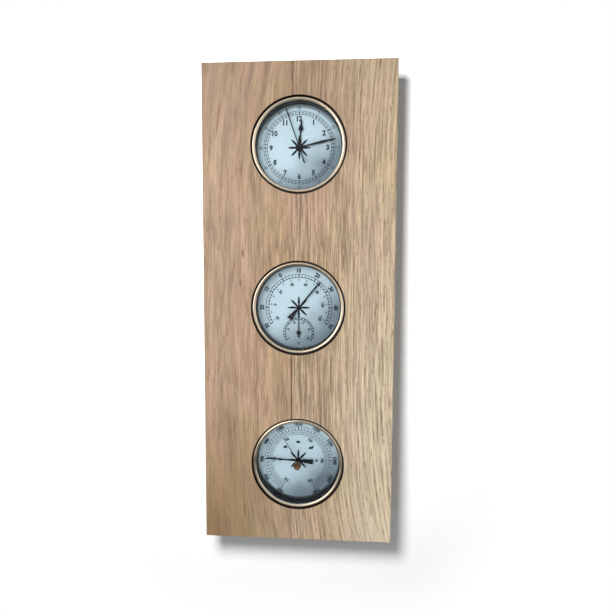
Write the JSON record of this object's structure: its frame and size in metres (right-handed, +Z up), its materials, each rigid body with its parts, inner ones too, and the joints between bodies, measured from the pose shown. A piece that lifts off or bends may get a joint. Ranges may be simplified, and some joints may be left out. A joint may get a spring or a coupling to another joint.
{
  "type": "thermometer hygrometer clock",
  "caption": "Oak wall board with round dials sunk one above the other under glass: a quartz clock, a thermometer with a small hygrometer, and a barometer with a set hand.",
  "frame": {"origin": "middle of the keyhole's round entry, in the plane of the board's back", "axes": "+Z up along the board's long side, +Y out of the back towards the wall, so the dials face -Y, +X to the viewer's right"},
  "size_m": [0.15, 0.0308, 0.376],
  "materials": {
    "oak_brown": "matt oil",
    "oak_light": "matt oil",
    "zinc_steel": "zinc plated",
    "spring_steel": "bare",
    "case_black": "moulded",
    "cap_black": "moulded",
    "champagne": "anodised pale gold",
    "window_glass": "clear",
    "dial_silver": "brushed",
    "hand_black": "satin lacquer",
    "brass": "polished",
    "wheel_brass": "bare",
    "wheel_plastic": "moulded",
    "cell_steel": "bright",
    "capsule_metal": "nickelled"
  },
  "bodies": {
    "wall_board": {"board_left_stave": "oak_brown", "board_right_stave": "oak_light", "hanger_plate": "zinc_steel", "instrument_cases": "case_black", "case_clips": "spring_steel", "bezels": "champagne", "lenses": "window_glass", "dials": "dial_silver", "movement": "cap_black", "battery": "cell_steel", "battery_contacts": "spring_steel", "thermometer_frame": "wheel_brass", "thermometer_spiral": "spring_steel", "hygrometer_frame": "wheel_brass", "hygrometer_coil": "spring_steel", "barometer_base": "wheel_brass", "capsule": "capsule_metal", "capsule_spring": "spring_steel", "lever_arm": "spring_steel", "pointer_bridge": "wheel_brass"},
    "minute_parts": {"cannon_pinion": "wheel_plastic", "minute_hand": "hand_black"},
    "hour_parts": {"hour_wheel": "wheel_plastic", "hour_hand": "hand_black"},
    "setting_parts": {"works_wheel": "wheel_plastic", "setting_knob": "cap_black"},
    "second_parts": {"second_arbor": "spring_steel", "second_hand": "hand_black"},
    "battery_lid": {"battery_cap": "cap_black"},
    "thermometer_pointer": {"thermometer_arbor": "spring_steel", "thermometer_hand": "hand_black"},
    "hygrometer_pointer": {"hygrometer_arbor": "spring_steel", "hygrometer_hand": "hand_black"},
    "barometer_pointer": {"barometer_arbor": "wheel_brass", "barometer_hand": "hand_black"},
    "sector": {"toothed_sector": "wheel_brass"},
    "set_marker": {"set_hand": "brass", "set_knob": "brass"},
    "adjuster": {"adjusting_screw": "zinc_steel"}
  },
  "joints": [
    {"name": "minute_turn", "type": "hinge", "parent": "wall_board", "child": "minute_parts", "pos_m": [0, -0.0168, -0.0465], "axis": [0, 1, 0], "continuous": true},
    {"name": "hour_turn", "type": "hinge", "parent": "wall_board", "child": "hour_parts", "pos_m": [0, -0.0168, -0.0465], "axis": [0, 1, 0], "continuous": true},
    {"name": "setting_turn", "type": "hinge", "parent": "wall_board", "child": "setting_parts", "pos_m": [-0.00526, -0.0168, -0.04841], "axis": [0, 1, 0], "continuous": true},
    {"name": "second_turn", "type": "hinge", "parent": "wall_board", "child": "second_parts", "pos_m": [0, -0.0168, -0.0465], "axis": [0, 1, 0], "continuous": true},
    {"name": "battery_cap_turn", "type": "hinge", "parent": "wall_board", "child": "battery_lid", "pos_m": [0, -0.0168, -0.0229], "axis": [0, 1, 0], "range_deg": [0, 60]},
    {"name": "thermometer_turn", "type": "hinge", "parent": "wall_board", "child": "thermometer_pointer", "pos_m": [0, -0.0168, -0.172], "axis": [0, 1, 0], "range_deg": [-159.6, 80.4]},
    {"name": "hygrometer_turn", "type": "hinge", "parent": "wall_board", "child": "hygrometer_pointer", "pos_m": [0, -0.0168, -0.1923], "axis": [0, 1, 0], "range_deg": [-120, 120]},
    {"name": "barometer_turn", "type": "hinge", "parent": "wall_board", "child": "barometer_pointer", "pos_m": [0, -0.0168, -0.2975], "axis": [0, 1, 0], "range_deg": [-63.4, 236.6]},
    {"name": "sector_turn", "type": "hinge", "parent": "wall_board", "child": "sector", "pos_m": [-0.0198, -0.0168, -0.2975], "axis": [0, 1, 0], "range_deg": [-23.7, 6.4]},
    {"name": "set_hand_turn", "type": "hinge", "parent": "wall_board", "child": "set_marker", "pos_m": [0, -0.0168, -0.2975], "axis": [0, 1, 0], "continuous": true},
    {"name": "adjusting_screw_turn", "type": "hinge", "parent": "wall_board", "child": "adjuster", "pos_m": [-0.0159, -0.0168, -0.2975], "axis": [0, 1, 0], "range_deg": [-180, 180]}
  ],
  "couplings": [
    {"joint": "hour_turn", "follows": "minute_turn", "ratio": 0.083333},
    {"joint": "setting_turn", "follows": "minute_turn", "ratio": -0.33333},
    {"joint": "sector_turn", "follows": "barometer_turn", "ratio": -0.1}
  ]
}
